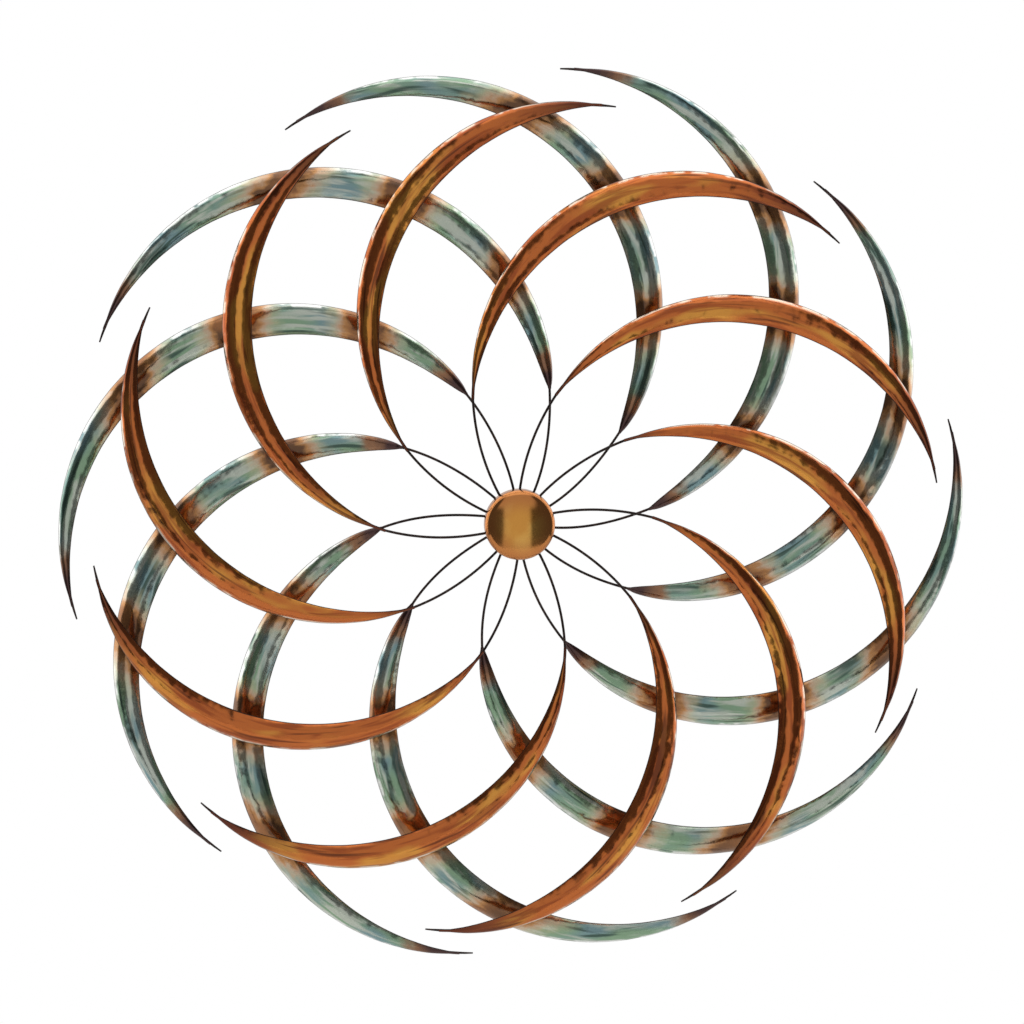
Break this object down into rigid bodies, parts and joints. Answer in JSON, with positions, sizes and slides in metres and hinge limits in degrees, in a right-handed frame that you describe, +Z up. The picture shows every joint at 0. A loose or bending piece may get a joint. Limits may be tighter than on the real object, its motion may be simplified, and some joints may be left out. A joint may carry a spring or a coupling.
{
  "type": "kinetic wind sculpture",
  "caption": "Wall-mounted wind sculpture: two counter-turning rotors of curved crescent blades, copper in front and verdigris behind, on one axle.",
  "frame": {"origin": "centre of the wall flange's back face", "axes": "+Z up, -Y the way the sculpture faces and the axle runs, +X to the right seen from the front"},
  "size_m": [0.925, 0.0975, 0.9138],
  "materials": {
    "copper": "polished hammered copper",
    "verdigris": "verdigris patina on copper, burnt bands",
    "rod_steel": "dark brown, satin",
    "bronze_cap": "polished bronze",
    "hub_steel": "dark, satin",
    "bright_steel": "turned steel"
  },
  "bodies": {
    "mount": {"axle": "bright_steel", "centre_spacer": "bright_steel", "front_hub_back_bearing_inner_race": "bright_steel", "front_hub_front_bearing_inner_race": "bright_steel", "lock_nut": "bright_steel", "rear_hub_back_bearing_inner_race": "bright_steel", "rear_hub_front_bearing_inner_race": "bright_steel", "standoff_sleeve": "bright_steel", "wall_flange": "hub_steel"},
    "front_rotor": {"copper_blade_01": "copper", "copper_blade_02": "copper", "copper_blade_03": "copper", "copper_blade_04": "copper", "copper_blade_05": "copper", "copper_blade_06": "copper", "copper_blade_07": "copper", "copper_blade_08": "copper", "copper_blade_09": "copper", "copper_blade_10": "copper", "front_spoke_01": "rod_steel", "front_spoke_02": "rod_steel", "front_spoke_03": "rod_steel", "front_spoke_04": "rod_steel", "front_spoke_05": "rod_steel", "front_spoke_06": "rod_steel", "front_spoke_07": "rod_steel", "front_spoke_08": "rod_steel", "front_spoke_09": "rod_steel", "front_spoke_10": "rod_steel", "front_hub": "hub_steel", "hub_cap": "bronze_cap", "front_hub_back_bearing_outer_race": "bright_steel", "front_hub_front_bearing_outer_race": "bright_steel"},
    "rear_rotor": {"rear_spoke_01": "rod_steel", "rear_spoke_02": "rod_steel", "rear_spoke_03": "rod_steel", "rear_spoke_04": "rod_steel", "rear_spoke_05": "rod_steel", "rear_spoke_06": "rod_steel", "rear_spoke_07": "rod_steel", "rear_spoke_08": "rod_steel", "rear_spoke_09": "rod_steel", "rear_spoke_10": "rod_steel", "verdigris_blade_01": "verdigris", "verdigris_blade_02": "verdigris", "verdigris_blade_03": "verdigris", "verdigris_blade_04": "verdigris", "verdigris_blade_05": "verdigris", "verdigris_blade_06": "verdigris", "verdigris_blade_07": "verdigris", "verdigris_blade_08": "verdigris", "verdigris_blade_09": "verdigris", "verdigris_blade_10": "verdigris", "rear_hub": "hub_steel", "rear_hub_back_bearing_outer_race": "bright_steel", "rear_hub_front_bearing_outer_race": "bright_steel"},
    "front_cages": {"front_hub_back_bearing_ball_cage": "bright_steel", "front_hub_front_bearing_ball_cage": "bright_steel"},
    "rear_cages": {"rear_hub_back_bearing_ball_cage": "bright_steel", "rear_hub_front_bearing_ball_cage": "bright_steel"}
  },
  "joints": [
    {"name": "front_rotor_spin", "type": "hinge", "parent": "mount", "child": "front_rotor", "pos_m": [0, -0.0706, 0], "axis": [0, -1, 0], "continuous": true},
    {"name": "rear_rotor_spin", "type": "hinge", "parent": "mount", "child": "rear_rotor", "pos_m": [0, -0.0601, 0], "axis": [0, -1, 0], "continuous": true},
    {"name": "front_cage_spin", "type": "hinge", "parent": "mount", "child": "front_cages", "pos_m": [0, -0.0706, 0], "axis": [0, -1, 0], "continuous": true},
    {"name": "rear_cage_spin", "type": "hinge", "parent": "mount", "child": "rear_cages", "pos_m": [0, -0.0601, 0], "axis": [0, -1, 0], "continuous": true}
  ],
  "couplings": [
    {"joint": "front_cage_spin", "follows": "front_rotor_spin", "ratio": 0.6144},
    {"joint": "rear_cage_spin", "follows": "rear_rotor_spin", "ratio": 0.6144}
  ]
}
